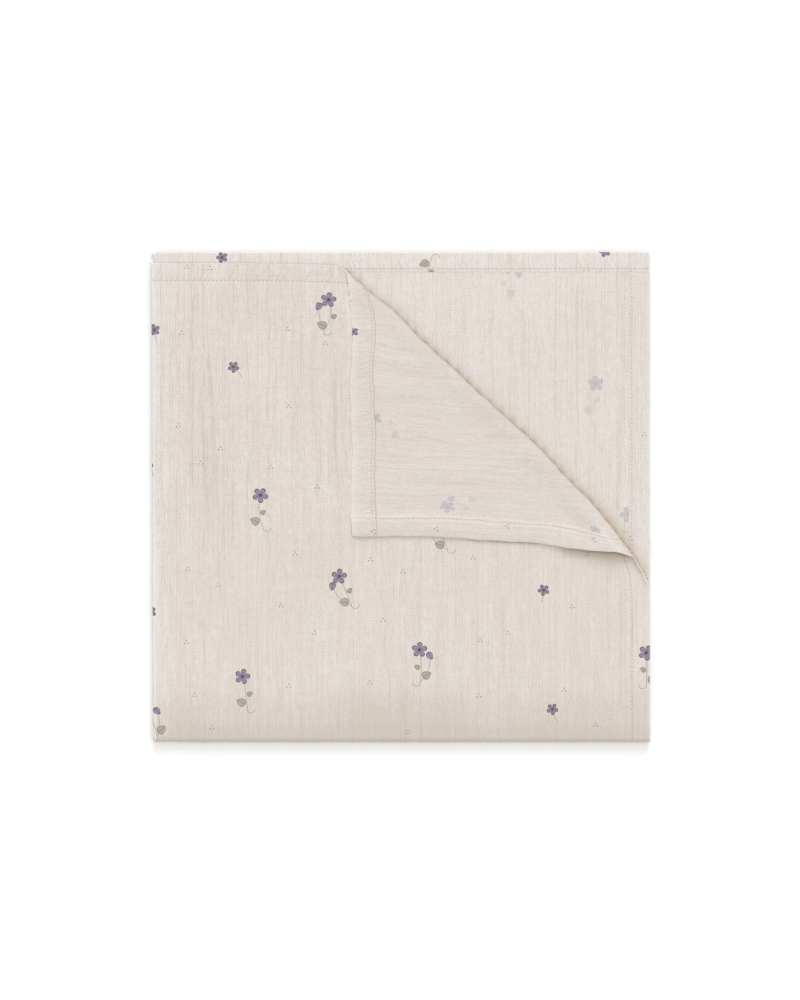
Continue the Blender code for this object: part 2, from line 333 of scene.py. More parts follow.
def turn_corner(u, v, x, y, z):
    """The top quarter with its far right corner turned down over the stations' roll."""
    for row in DRAGS:
        near = np.exp(-((u - row.u * MM) ** 2 + (v - row.v * MM) ** 2) / (row.reach * MM) ** 2)
        x = x + row.dx * MM * near
        y = y + row.dy * MM * near
    along = (x - AXIS_START[0]) * AXIS_DIRECTION[0] + (y - AXIS_START[1]) * AXIS_DIRECTION[1]
    off = (x - AXIS_START[0]) * AXIS_NORMAL[0] + (y - AXIS_START[1]) * AXIS_NORMAL[1]
    radius = station_column("radius", along) * MM
    start = crest_offset(along) + radius
    beyond = start - off
    turn = np.clip(beyond / radius, 0, pi)
    flat = np.maximum(beyond - pi * radius, 0)
    rolled_off = start - radius * np.sin(turn) + station_column("stretch", along) * flat
    rolled_along = along - FLAP_SHEAR * flat
    settled = smooth(flat / (FLAP_SETTLE_RADII * radius))
    rest = THICKNESS + FLAP_GAP
    rise = station_column("rise", along)
    lift = rise * radius * (1 - np.cos(turn)) * (1 - settled) + rest * settled
    turned_x = AXIS_START[0] + rolled_along * AXIS_DIRECTION[0] + rolled_off * AXIS_NORMAL[0]
    turned_y = AXIS_START[1] + rolled_along * AXIS_DIRECTION[1] + rolled_off * AXIS_NORMAL[1]
    side, end = HALF_WIDTH - u, HALF_LENGTH - v
    turned_x = turned_x + BAND_EASE * hem_band(end) * smooth(flat / BAND_EASE_RUN)
    ease = LOWER_BAND_EASE * (1 + LOWER_BAND_MORE * smooth(end / LOWER_BAND_MORE_RUN))
    turned_y = turned_y + ease * hem_band(side) * smooth(flat / LOWER_BAND_RUN)
    arc = np.clip(side / HEM_ARC_WIDTH, 0, 1)
    lift = lift + HEM_ARC * np.sin(pi * arc ** HEM_ARC_POWER) * settled
    curl = np.exp(-(((v - CURL_AT) / CURL_REACH) ** 2) - side / CURL_DEPTH)
    lift = lift + CURL * curl * smooth(flat / CURL_RUN)
    turned_z = top_level(turned_x, turned_y) + lift
    over = beyond > 0
    return np.where(over, turned_x, x), np.where(over, turned_y, y), np.where(over, turned_z, z)


def smooth_fold(u, v):
    """Where the middle of the cloth lies at u, v, without its crinkles, as rows of x, y, z."""
    x, y, z = quarter(u, v)
    turned = turn_corner(u, v, x, y, z)
    on_top = (u > 0) & (v > 0)
    return np.stack([np.where(on_top, bent, flat) for bent, flat in zip(turned, (x, y, z))], axis=1)


def normals_of(surface, u, v, step=0.05 * MM):
    """Unit normals of a surface over u and v, on the cloth's printed side."""
    across = surface(u + step, v) - surface(u - step, v)
    length = surface(u, v + step) - surface(u, v - step)
    normals = np.cross(across, length)
    return normals / np.linalg.norm(normals, axis=1, keepdims=True)


def insets(u, v):
    """Distances from the side edges and from the end edges."""
    return HALF_WIDTH - np.abs(u), HALF_LENGTH - np.abs(v)


def crinkles(u, v):
    """Height of the crinkles and creases over the cloth's smooth middle."""
    height = np.zeros_like(u)
    for row in CRINKLES:
        wander = 1.3 * noise(u / (6 * row.width * MM), v / (row.length * MM), row.seed + 20)
        lines = noise(u / (row.width * MM) + wander, v / (row.length * MM), row.seed)
        ridges = 0.6 - 1.1 * np.exp(-((lines / VALLEY_WIDTH) ** 2))
        height += row.height * MM * (ridges + lines) / 2
    patch = 0.85 + 0.5 * noise(u / (85 * MM), v / (120 * MM), 31)
    side, end = insets(u, v)
    hemmed = smooth((np.minimum(side, end) - STITCH_INSET) / CRINKLE_FADE)
    creased = smooth((np.abs(u) - 4 * MM) / CRINKLE_FADE)
    height *= patch * (HEM_CRINKLE + (1 - HEM_CRINKLE) * hemmed) * creased
    for row in CREASES:
        start = np.array((row.u0, row.v0)) * MM
        run = np.array((row.u1, row.v1)) * MM - start
        length = np.linalg.norm(run)
        run /= length
        along = ((u - start[0]) * run[0] + (v - start[1]) * run[1]) / length
        bow = CREASE_BOW * np.sin(pi * np.clip(along, 0, 1))
        off = (u - start[0]) * run[1] - (v - start[1]) * run[0] - bow
        taper = smooth(along / CREASE_TAPER) * smooth((1 - along) / CREASE_TAPER)
        height -= row.depth * MM * taper * np.exp(-((off / (row.width * MM)) ** 2))
    lowest = (v < 0) & (u > 0)
    back_shows = (v > 0) & (u < 0)
    return np.where(lowest, 0, np.where(back_shows, -height, height))


def hem_extra(u, v):
    """How much the turned hems add to the back of the cloth."""
    side, end = (np.clip((HEM_DEPTH + HEM_STEP - inset) / HEM_STEP, 0, 1) for inset in insets(u, v))
    flatter = 1 - SECOND_HEM_FLATTER * smooth(-u / FOLD_FADE) * (v > 0)
    return HEM_EXTRA * np.maximum(side, end * flatter) + HEM_OVERLAP_EXTRA * side * end


def stitch_groove(u, v):
    """How deep the stitches pull each side of the cloth in."""
    near = [np.exp(-(((inset - STITCH_INSET) / GROOVE_WIDTH) ** 2)) for inset in insets(u, v)]
    return GROOVE_DEPTH * np.maximum(*near)


def edge_taper(u, v):
    """The share of its thickness that the back keeps towards the top quarter's far hem's edge."""
    end = HALF_LENGTH - v
    return 1 - EDGE_THINNING * (1 - smooth(end / EDGE_TAPER)) * smooth(u / FOLD_FADE)


def lay(u, v):
    """The printed side and the back of the cloth at u, v, and its normals."""
    middle = smooth_fold(u, v)
    normals = normals_of(smooth_fold, u, v)
    middle = middle + crinkles(u, v)[:, None] * normals
    groove = stitch_groove(u, v)
    front = middle + (THICKNESS / 2 - groove)[:, None] * normals
    behind = edge_taper(u, v) * (THICKNESS / 2 + hem_extra(u, v)) - groove
    return front, middle - behind[:, None] * normals, normals


# Lines of the cloth's grid, in millimetres from a fold or in from an edge.
FOLD_LINES = (0.5, 1.0, 1.6, 2.3, 3.2, 4.4, 6, 8)
EDGE_LINES = (0.8, 2.5, 7, 12, 16, 18.2, 19.0, 19.6, 20.2, 21.0, 21.8, 22.8, 24)
END_FOLD_LINES = (0.7, 1.4, 2.1, 2.9, 3.8, 4.8, 5.8, 6.8, 9)
ROLL_LINES = (-46, -38, -31, -25, -20, -16, -12.5, -10) + tuple(np.arange(-8, 30, 1.5))
ROLL_LINE_REACH = 12 * MM
Spacing = namedtuple("Spacing", "top second end hidden")
SPACING = Spacing(top=2.0, second=2.9, end=11.0, hidden=40)


def grid_lines(fold_lines, half, spacing):
    """Distances from a fold to an edge: fine at both, and evenly spaced between."""
    low, high = fold_lines[-1], half / MM - EDGE_LINES[-1]
    count = max(1, round((high - low) / spacing))
    between = np.linspace(low, high, count + 1)[1:-1]
    edges = half / MM - np.array(EDGE_LINES[::-1])
    return np.concatenate([fold_lines, between, edges, [half / MM]]) * MM


def blank_mesh():
    """The flat cloth, with a fine grid on its upper two quarters and a coarse one on the others."""
    right = grid_lines(FOLD_LINES, HALF_WIDTH, SPACING.top)
    left = grid_lines(FOLD_LINES, HALF_WIDTH, SPACING.second)
    us = np.concatenate([-left[::-1], [0], right])
    coarse = grid_lines(FOLD_LINES, HALF_WIDTH, SPACING.hidden)
    coarse = np.concatenate([-coarse[::-1], [0], coarse])
    kept = [int(np.abs(us - value).argmin()) for value in coarse]
    far = grid_lines(END_FOLD_LINES, HALF_LENGTH, SPACING.end)
    near = -grid_lines(END_FOLD_LINES, HALF_LENGTH, SPACING.hidden)[::-1]
    seam = len(near) - len(END_FOLD_LINES)
    vs = np.concatenate([near, [0], far])
    vertices, index = [], {}

    def corner(i, j):
        if (i, j) not in index:
            index[i, j] = len(vertices)
            vertices.append((us[i], vs[j], 0))
        return index[i, j]

    faces = []
    for j in range(len(vs) - 1):
        columns = kept if j < seam else range(len(us))
        for a, b in zip(columns[:-1], columns[1:]):
            top = [corner(i, j + 1) for i in (range(b, a - 1, -1) if j == seam - 1 else (b, a))]
            faces.append([corner(a, j), corner(b, j), *top])
    mesh = bpy.data.meshes.new("blank")
    mesh.from_pydata(vertices, [], faces)
    blank = bmesh.new()
    blank.from_mesh(mesh)
    bpy.data.meshes.remove(mesh)
    sample = np.array([HALF_WIDTH / 2]), np.array([HALF_LENGTH / 2])
    start = AXIS_START + np.subtract(sample, quarter(*sample)[:2]).ravel()
    for distance in ROLL_LINES:
        point = start + distance * MM * AXIS_NORMAL
        near_line = []
        for face in blank.faces:
            centre = face.calc_center_median().xy
            off = (centre - Vector(point)).dot(Vector(AXIS_NORMAL))
            if min(centre) > 0 and abs(off) < ROLL_LINE_REACH:
                near_line.append(face)
        edges = {edge for face in near_line for edge in face.edges}
        verts = {vert for face in near_line for vert in face.verts}
        bmesh.ops.bisect_plane(
            blank,
            geom=near_line + list(edges) + list(verts),
            dist=0.02 * MM,
            plane_co=(*point, 0),
            plane_no=(*AXIS_NORMAL, 0),
        )
    bmesh.ops.triangulate(blank, faces=blank.faces[:])
    blank.verts.index_update()
    blank.verts.ensure_lookup_table()
    return blank


# The rim's rings round the cloth's edge, and how far out they reach for each half of its thickness.
RIM_TURNS = (pi / 4, pi / 2, 3 * pi / 4)
RIM_BULGE = 0.5
RIM_REACH = 0.4 * MM
AT_EDGE = 0.01 * MM
INWARD_STEP = 0.3 * MM


def cloth_arrays(blank):
    """Points, faces and what goes with them for the closed cloth."""
    u, v = np.array([vert.co.xy for vert in blank.verts], float).T
    front, back, normals = lay(u, v)
    triangles = np.array([[vert.index for vert in face.verts] for face in blank.faces])
    count = len(u)
    rims = [loop for edge in blank.edges if edge.is_boundary for loop in edge.link_loops]
    starts = np.array([(loop.vert.index, loop.link_loop_next.vert.index) for loop in rims])
    edge_verts = np.unique(starts)
    place = np.zeros(count, int)
    place[edge_verts] = np.arange(len(edge_verts))
    eu, ev = u[edge_verts], v[edge_verts]
    side, end = insets(eu, ev)
    out_u = np.where(side < AT_EDGE, np.sign(eu), 0)
    out_v = np.where(end < AT_EDGE, np.sign(ev), 0)
    inside = smooth_fold(eu - out_u * INWARD_STEP, ev - out_v * INWARD_STEP)
    outward = smooth_fold(eu, ev) - inside
    outward -= (outward * normals[edge_verts]).sum(axis=1, keepdims=True) * normals[edge_verts]
    outward /= np.linalg.norm(outward, axis=1, keepdims=True)
    centre = (front[edge_verts] + back[edge_verts]) / 2
    half = np.linalg.norm(front[edge_verts] - back[edge_verts], axis=1, keepdims=True) / 2
    rings = [
        centre + half * (np.cos(turn) * normals[edge_verts] + RIM_BULGE * np.sin(turn) * outward)
        for turn in RIM_TURNS
    ]
    points = np.concatenate([front, back, *rings])
    layers = [starts]
    for k in range(len(RIM_TURNS)):
        layers.append(place[starts] + 2 * count + k * len(edge_verts))
    layers.append(starts + count)
    quads = [
        np.stack([high[:, 1], high[:, 0], low[:, 0], low[:, 1]], axis=1)
        for high, low in zip(layers[:-1], layers[1:])
    ]
    return {
        "u": np.concatenate([u, u, *[eu] * len(RIM_TURNS)]),
        "v": np.concatenate([v, v, *[ev] * len(RIM_TURNS)]),
        "points": points,
        "count": count,
        "front": triangles,
        "back": triangles[:, ::-1] + count,
        "rims": np.concatenate(quads),
        "rim_layers": len(quads),
    }


# Where the baked map has each group of faces, by side of the cloth and quarter (right, far): left,
# low, width and height.
BAKE_CELLS = {
    ("front", True, True): (0.005, 0.005, 0.59, 0.59),
    ("back", True, True): (0.605, 0.005, 0.39, 0.39),
    ("back", False, True): (0.605, 0.405, 0.39, 0.39),
    ("front", False, True): (0.005, 0.605, 0.19, 0.19),
    ("front", True, False): (0.205, 0.605, 0.19, 0.19),
    ("front", False, False): (0.405, 0.605, 0.19, 0.19),
    ("back", True, False): (0.605, 0.805, 0.19, 0.19),
    ("back", False, False): (0.805, 0.805, 0.19, 0.19),
}
RIM_CELL = (0.005, 0.81, 0.58, 0.18)
RIM_CELLS_A_ROW = 400
RIM_SQUARE = np.array([(1, 1), (0, 1), (0, 0), (1, 0)]) * (0.9, 0.2)


def corner_maps(cloth, group):
    """Print coordinates and baked-map coordinates of each face corner, for faces of one group."""
    u, v = cloth["u"][cloth[group]].ravel(), cloth["v"][cloth[group]].ravel()
    mid_u, mid_v = (np.repeat(values.reshape(-1, 3).mean(axis=1), 3) for values in (u, v))
    print_u, print_v = u.copy(), v.copy()
    printed = np.ones_like(u)
    if group == "back":
        side, end = insets(mid_u, mid_v)
        on_side = side < HEM_DEPTH + HEM_STEP
        on_end = ~on_side & (end < HEM_DEPTH + HEM_STEP)
        print_u = np.where(on_side, np.sign(mid_u) * CLOTH_WIDTH - u, u)
        print_v = np.where(on_end, np.sign(mid_v) * CLOTH_LENGTH - v, v)
        printed = (on_side | on_end).astype(float)
    bake = np.zeros((len(u), 2))
    for (name, right, far), (left, low, width, height) in BAKE_CELLS.items():
        if name == group:
            here = ((mid_u > 0) == right) & ((mid_v > 0) == far)
            bake[here, 0] = left + width * np.abs(u[here]) / HALF_WIDTH
            bake[here, 1] = low + height * np.abs(v[here]) / HALF_LENGTH
    return np.stack([print_u, print_v], axis=1), bake, printed


def rim_bake_map(face_count, layer_count):
    """Baked-map coordinates of the rim's corners: a small square for each face."""
    per_layer = face_count // layer_count
    layer = np.repeat(np.arange(layer_count), per_layer)
    order = np.tile(np.arange(per_layer), layer_count)
    left, low, width, height = RIM_CELL
    width, height = width / RIM_CELLS_A_ROW, height / (per_layer // RIM_CELLS_A_ROW + 1)
    left = left + (order % RIM_CELLS_A_ROW) * width
    low = low + (order // RIM_CELLS_A_ROW + layer / layer_count) * height
    squares = np.stack([left, low], axis=1)[:, None, :] + RIM_SQUARE * (width, height)
    return squares.reshape(-1, 2)


# The painted shade and painted shadow beside the turned corner, where its edges stand this high
# over the cloth below.
Line = namedtuple("Line", "points heights")
FOLD_LINE_ALONG = np.linspace(8, 470, 321) * MM
LOWER_LINE_ALONG = np.linspace(180, HALF_LENGTH / MM, 240) * MM
LEFT_LINE_ALONG = np.linspace(200, HALF_WIDTH / MM, 260) * MM
LOWEST_EDGE = 0.4 * MM
TURNED_ABOVE = 0.5 * MM
FAR_AWAY = 50 * MM
UNDER_REACH = 3 * MM
UNDER_LEFT_REACH = 4 * MM
FOLD_SHIFT = 0.3 * MM
SHADE_RUN = 0.95
TOP_SHADE = 0.35
TOP_SHADE_RUN = 2 * MM


def corner_lines():
    """The turned corner's fold and its lower edge, with their heights over the cloth below."""
    along = FOLD_LINE_ALONG
    fold = AXIS_START + along[:, None] * AXIS_DIRECTION + crest_offset(along)[:, None] * AXIS_NORMAL
    height = 2 * station_column("rise", along) * station_column("radius", along) * MM
    edge = smooth_fold(LOWER_LINE_ALONG * 0 + HALF_WIDTH, LOWER_LINE_ALONG)
    over = edge[:, 2] - top_level(edge[:, 0], edge[:, 1])
    return Line(fold, height), Line(edge[:, :2], np.maximum(over - THICKNESS / 2, LOWEST_EDGE))


def is_turned(places):
    """Whether places of the top quarter are on its turned corner."""
    return places[:, 2] >= top_level(places[:, 0], places[:, 1]) + TURNED_ABOVE


# Where painted light goes beside the turned corner's left edge, to lift its shadow.
def left_gaps(u, v):
    """On the top quarter: millimetres from the turned corner's left edge, negative under it."""
    middle = smooth_fold(u, v)
    edge = smooth_fold(LEFT_LINE_ALONG, LEFT_LINE_ALONG * 0 + HALF_LENGTH)
    edge = edge[is_turned(edge)]
    edge = edge[np.argsort(edge[:, 1])]
    below = (u > 0) & (v > 0) & ~is_turned(middle)
    below &= (middle[:, 1] > edge[0, 1]) & (middle[:, 1] < edge[-1, 1])
    gaps = np.full(len(u), FAR_AWAY)
    gaps[below] = np.interp(middle[below, 1], edge[:, 1], edge[:, 0]) - middle[below, 0]
    gaps[gaps < -UNDER_LEFT_REACH] = FAR_AWAY
    return gaps / MM


def crevices(u, v):
    """Painted shade beside the turned corner: a depth from 1 to 0 on what it lies on, and
    millimetres from its edge.
    """
    middle = smooth_fold(u, v)
    fold, lower = corner_lines()
    depths = np.zeros(len(u))
    beside = np.full(len(u), FAR_AWAY)
    second, top = (u < 0) & (v > 0), (u > 0) & (v > 0)
    below = top & ~is_turned(middle)
    for here, line in ((second, fold), (top, fold), (below, lower)):
        places = middle[here, :2]
        gaps = np.linalg.norm(places[:, None] - line.points, axis=2)
        nearest = gaps.argmin(axis=1)
        height = line.heights[nearest]
        gap = gaps.min(axis=1)
        if here is top:
            depth = TOP_SHADE * np.exp(-gap / TOP_SHADE_RUN)
        else:
            raised = np.clip((height - 1 * MM) / (2 * MM), 0, 1)
            depth = np.exp(-gap / (SHADE_RUN * height)) * raised
            inward = AXIS_NORMAL if line is fold else np.array((0, 1))
            covered = (places - line.points[nearest]) @ inward > 0
            gap = np.where(covered & (gap < UNDER_REACH), -gap, gap)
        gap = gap - (RIM_REACH if here is below else -FOLD_SHIFT)
        depths[here] = np.maximum(depths[here], depth)
        beside[here] = np.minimum(beside[here], gap)
    return depths, beside / MM


def add_object(name, data):
    """A new object in the scene."""
    thing = bpy.data.objects.new(name, data)
    bpy.context.scene.collection.objects.link(thing)
    return thing


# The point attributes place painted shade in the crinkles and by the turned corner, a painted
# shadow and painted light.
FACE_ATTRIBUTES = ("printed", "front", "rim")
POINT_ATTRIBUTES = ("crinkle", "crevice", "beside", "left_gap")


def make_cloth():
    """The blanket: one closed thin sheet with its two maps and its attributes."""
    blank = blank_mesh()
    cloth = cloth_arrays(blank)
    blank.free()
    points, rims, u, v = cloth["points"], cloth["rims"], cloth["u"], cloth["v"]
    low, high = (np.array(corner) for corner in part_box("swaddle_blanket"))
    shift = (low + high - points.min(axis=0) - points.max(axis=0)) / 2
    shift[2] = low[2] - points[:, 2].min()
    mesh = bpy.data.meshes.new("swaddle_cloth")
    faces = [*cloth["front"].tolist(), *cloth["back"].tolist(), *rims.tolist()]
    mesh.from_pydata((points + shift).tolist(), [], faces)
    sheet_uv, bake_uv, printed = [], [], []
    for group in ("front", "back"):
        sheet, bake, on_print = corner_maps(cloth, group)
        sheet_uv.append(sheet)
        bake_uv.append(bake)
        printed.append(on_print[::3])
    sheet_uv.append(np.stack([u[rims.ravel()], v[rims.ravel()]], axis=1))
    bake_uv.append(rim_bake_map(len(rims), cloth["rim_layers"]))
    printed.append(np.ones(len(rims)))
    for name, parts in (("sheet", sheet_uv), ("OFBake", bake_uv)):
        layer_map = mesh.uv_layers.new(name=name)
        layer_map.data.foreach_set("uv", np.concatenate(parts).ravel())
    counts = len(cloth["front"]), len(cloth["back"]), len(rims)
    fronts, on_rim = (np.repeat(values, counts) for values in ((1.0, 0, 0), (0, 0, 1.0)))
    heights = crinkles(u, v) / MM
    heights[cloth["count"] : 2 * cloth["count"]] *= -1
    for domain, names, columns in (
        ("FACE", FACE_ATTRIBUTES, (np.concatenate(printed), fronts, on_rim)),
        ("POINT", POINT_ATTRIBUTES, (heights, *crevices(u, v), left_gaps(u, v))),
    ):
        for name, values in zip(names, columns):
            attribute = mesh.attributes.new(name, "FLOAT", domain)
            attribute.data.foreach_set("value", values)
    mesh.shade_smooth()
    return add_object("swaddle_cloth", mesh), shift


STITCH_PITCH = 4.6 * MM
SIDE_STITCHES = round((CLOTH_LENGTH - 2 * HEM_DEPTH) / STITCH_PITCH)
END_STITCHES = round((CLOTH_WIDTH - 6 * MM) / STITCH_PITCH)
STITCH_HALF = np.array((1.55, 0.30, 0.20)) * MM
STITCH_RINGS = ((-0.72, 0.7), (0, 1.0), (0.72, 0.7))
STITCH_SIDES = 6
STITCH_END_DROP = 0.8
STITCH_RING_DROP = 0.5
STITCH_SKEW = 0.06
STITCH_LIFT = 0.03 * MM
STITCH_SEED = 5
DIRECTION_STEP = 0.4 * MM


def make_stitches(shift):
    """Two rows of stitches, one on each side of the cloth, along its four hems."""
    rows = []
    for sign in (-1, 1):
        sides, ends = (SIDE_STITCHES, HALF_WIDTH, 1), (END_STITCHES, HALF_LENGTH, 0)
        for count, half, along_v in (sides, ends):
            along = (np.arange(count) - (count - 1) / 2) * STITCH_PITCH
            edge = np.full(count, sign * (half - STITCH_INSET))
            place = (edge, along) if along_v else (along, edge)
            rows.append([*place, np.full(count, 1.0 - along_v), np.full(count, float(along_v))])
    u, v, du, dv = np.concatenate(rows, axis=1)
    rng = np.random.default_rng(STITCH_SEED)
    before = lay(u - du * DIRECTION_STEP, v - dv * DIRECTION_STEP)
    after = lay(u + du * DIRECTION_STEP, v + dv * DIRECTION_STEP)
    *places, normals = lay(u, v)
    solid_points, solid_faces = stitch_shape()
    points, faces = [], []
    for side, sign in ((0, 1), (1, -1)):
        forward = after[side] - before[side]
        forward /= np.linalg.norm(forward, axis=1, keepdims=True)
        up = sign * normals
        across = np.cross(up, forward)
        skew = rng.normal(0, STITCH_SKEW, len(u))[:, None]
        forward, across = forward + skew * across, across - skew * forward
        for k in range(len(u)):
            on_the_floor = sign > 0 and v[k] < 0 < u[k]
            if not on_the_floor:
                axes = np.stack([forward[k], across[k], up[k]])
                faces.append(solid_faces + len(points) * len(solid_points))
                points.append(places[side][k] + STITCH_LIFT * up[k] + solid_points @ axes)
    mesh = bpy.data.meshes.new("hem_stitches")
    mesh.from_pydata((np.concatenate(points) + shift).tolist(), [], np.concatenate(faces).tolist())
    mesh.shade_smooth()
    return add_object("hem_stitches", mesh)


def stitch_shape():
    """One stitch along X: a short thread that dives into the cloth at both ends."""
    length, width, height = STITCH_HALF
    turns = np.arange(STITCH_SIDES) * 2 * pi / STITCH_SIDES
    points = [(-length, 0, -STITCH_END_DROP * height)]
    for at, size in STITCH_RINGS:
        drop = -STITCH_RING_DROP * height * abs(at)
        for turn in turns:
            across, up = size * width * np.cos(turn), size * height * np.sin(turn)
            points.append((at * length, across, up + drop))
    points.append((length, 0, -STITCH_END_DROP * height))
    last = len(points) - 1
    faces = []
    for k in range(STITCH_SIDES):
        after = (k + 1) % STITCH_SIDES
        faces.append((0, 1 + after, 1 + k))
        for ring in range(len(STITCH_RINGS) - 1):
            a, b = 1 + ring * STITCH_SIDES + k, 1 + ring * STITCH_SIDES + after
            faces += [(a, b, b + STITCH_SIDES), (a, b + STITCH_SIDES, a + STITCH_SIDES)]
        top = 1 + (len(STITCH_RINGS) - 1) * STITCH_SIDES
        faces.append((top + k, top + after, last))
    return np.array(points), np.array(faces)


class Value:
    """A number in a shader tree. Arithmetic with it adds Math nodes."""

    def __init__(self, tree, output):
        self.tree = tree
        self.output = output

    def run(self, operation, *others):
        node = add_node(self.tree, "Math", enumerate((self, *others)), operation=operation)
        return Value(self.tree, node.outputs[0])

    __add__ = __radd__ = partialmethod(run, "ADD")
    __sub__ = partialmethod(run, "SUBTRACT")
    __mul__ = __rmul__ = partialmethod(run, "MULTIPLY")
    __truediv__ = partialmethod(run, "DIVIDE")
    __mod__ = partialmethod(run, "FLOORED_MODULO")
    __abs__ = partialmethod(run, "ABSOLUTE")
    larger = partialmethod(run, "MAXIMUM")
    smaller = partialmethod(run, "MINIMUM")

    def __rsub__(self, other):
        return (self * -1) + other

    def step(self, low, high):
        """0 at low and 1 at high, eased; low may be the larger."""
        values = (self, low, high, 0, 1) if low < high else (self, high, low, 1, 0)
        inputs = zip(("Value", "From Min", "From Max", "To Min", "To Max"), values)
        node = add_node(self.tree, "MapRange", inputs, interpolation_type="SMOOTHSTEP")
        return Value(self.tree, node.outputs["Result"])

    def ramp(self, start, end, share):
        """0 at the start, and the share at the end and beyond."""
        return self.step(start, end) * share

    def fading(self, per_mm):
        """1 at 0 and below, and fading above it."""
        return (self.larger(0.0) * -per_mm).run("EXPONENT")


def connect(value, socket):
    """Links a value or an output to a socket, or sets the socket."""
    if isinstance(value, Value):
        value = value.output
    if isinstance(value, bpy.types.NodeSocket):
        socket.id_data.links.new(value, socket)
    else:
        socket.default_value = value


def set_inputs(node, values):
    """Links or sets a node's inputs by their names or places."""
    for key, value in dict(values).items():
        connect(value, node.inputs[key])


def add_node(tree, kind, inputs=(), **settings):
    """A new node with its settings and inputs."""
    node = tree.nodes.new("ShaderNode" + kind)
    for name, value in settings.items():
        setattr(node, name, value)
    set_inputs(node, inputs)
    return node


def vector(x, y, z):
    """Three numbers, the first of them a Value, as one vector."""
    return add_node(x.tree, "CombineXYZ", enumerate((x, y, z))).outputs[0]


def field(form, x, y):
    """Blender's noise at x, y in millimetres, from 0 to 1."""
    place = vector(x / form.across, y / form.along, form.seed)
    inputs = {"Vector": place, "Scale": 1.0, "Detail": form.detail}
    return Value(x.tree, add_node(x.tree, "TexNoise", inputs).outputs[0])


def stored(tree, name):
    """One of the mesh's own attributes."""
    return Value(tree, add_node(tree, "Attribute", attribute_name=name).outputs["Fac"])


def random_values(x, y, seed):
    """Three random numbers from 0 to 1 for a whole-numbered place."""
    node = add_node(x.tree, "TexWhiteNoise", {"Vector": vector(x, y, seed)})
    parts = add_node(x.tree, "SeparateColor", {0: node.outputs["Color"]})
    return [Value(x.tree, output) for output in parts.outputs]


# A Mix node's sockets for colours: its share, the two colours and the result.
MIX_INPUTS = (0, 6, 7)
MIX_RESULT = 2


def layered(colour, layers):
    """A colour with others laid over it, each by its own share."""
    for share, other in layers:
        inputs = zip(MIX_INPUTS, (share, colour, other))
        node = add_node(share.tree, "Mix", inputs, data_type="RGBA")
        colour = node.outputs[MIX_RESULT]
    return colour


# The print, in millimetres: one spray and three dot marks in each cell of a half-drop lattice. A
# small spray is a flower on a short stem, its sizes smaller by those named SMALL.
PRINT_X = 60
PRINT_Y = 5
CELL_X = 104
CELL_Y = 158
PETALS = 5
PETAL_DEPTH = 0.62
FLOWER_RADIUS = 8.6
SMALL_RADIUS = 2.2
FLOWER_HIGH = 16
SMALL_HIGH = 11
STEM_LENGTH = 36
SMALL_STEM = 22
STEM_LEAN = 16
STEM_SWAY = 26
HOOK_RADIUS = 4.2
BUD_STEM_TOP = 10
SPRAY_TURN = 0.9
SPRAY_MOVE = (46, 60)
DOT_MOVE = (28, 44)
DOT_BESIDE = 1.9
DOT_BELOW = 1.1
DOT_MARKS = ((34, 50, 17.0), (-34, -50, 23.0), (34, -30, 29.0))
# A leaf or bud: how far it follows the stem's lean and sway, its place from the flower, its half
# sizes and its direction.
Leaf = namedtuple("Leaf", "lean sway x y half_long half_wide cosine sine")
LARGE_LEAF = Leaf(0.62, 0.17, 6.4, -28.5, 5.2, 4.1, 0.906, 0.423)
SMALL_LEAF = Leaf(0.3, 0.25, -4.4, -19, 3.3, 2.5, -0.866, 0.5)
BUD = Leaf(0, 0, 11, -7.5, 4.6, 3.2, 0.5, -0.866)
INK_PETAL = (0.262, 0.220, 0.292, 1)
INK_PETAL_EDGE = (0.055, 0.043, 0.078, 1)
INK_LEAF = (0.345, 0.338, 0.262, 1)
INK_LEAF_EDGE = (0.19, 0.19, 0.145, 1)
INK_STEM = (0.30, 0.275, 0.225, 1)
INK_DOT = (0.17, 0.15, 0.18, 1)
INK_THROUGH = (0.37, 0.375, 0.42, 1)

Mark = namedtuple("Mark", "fill lines blur")


def merged(marks, others, there):
    """Marks with others added where those are there."""
    return Mark(*(one.larger(other * there) for one, other in zip(marks, others)))


def length_of(x, y):
    """Distance from the origin."""
    return (x * x + y * y).run("SQRT")


def bloom(x, y, radius, turn):
    """A flower of five rounded petals with dark outlines and veins."""
    distance = length_of(x, y)
    angle = y.run("ARCTAN2", x) + turn
    lobe = abs((angle * (PETALS / 2)).run("COSINE")).run("POWER", 0.55)
    inside = radius * (lobe * PETAL_DEPTH + (1 - PETAL_DEPTH)) - distance
    fill = inside.step(-0.25, 0.25)
    outline = inside.step(1.7, 0.6)
    vein = (abs((angle * (PETALS / 2)).run("SINE")) * distance).step(0.75, 0.35)
    side_vein = abs((angle * (PETALS * 1.5) + 0.4).run("COSINE")) * distance
    vein = vein.larger(side_vein.step(2.2, 0.6) * 0.6) * (distance / radius).step(0.82, 0.6)
    heart = (distance / radius).step(0.26, 0.16)
    return Mark(fill, outline.larger(vein * 0.85).larger(heart) * fill, inside.step(-1.0, 1.8))


def leaf(form, px, py, lean, sway):
    """A pointed oval with a middle rib."""
    x, y = px - lean * form.lean - sway * form.sway - form.x, py - form.y
    along = (x * form.cosine + y * form.sine) / form.half_long
    across = (y * form.cosine - x * form.sine) / form.half_wide
    across = across / (1.08 - along * 0.38)
    inside = (1 - length_of(along, across)) * form.half_wide
    fill = inside.step(-0.2, 0.2)
    rib = abs(across * form.half_wide).step(0.45, 0.15)
    return Mark(fill, inside.step(0.9, 0.3).larger(rib) * fill, inside.step(-1.0, 1.4))


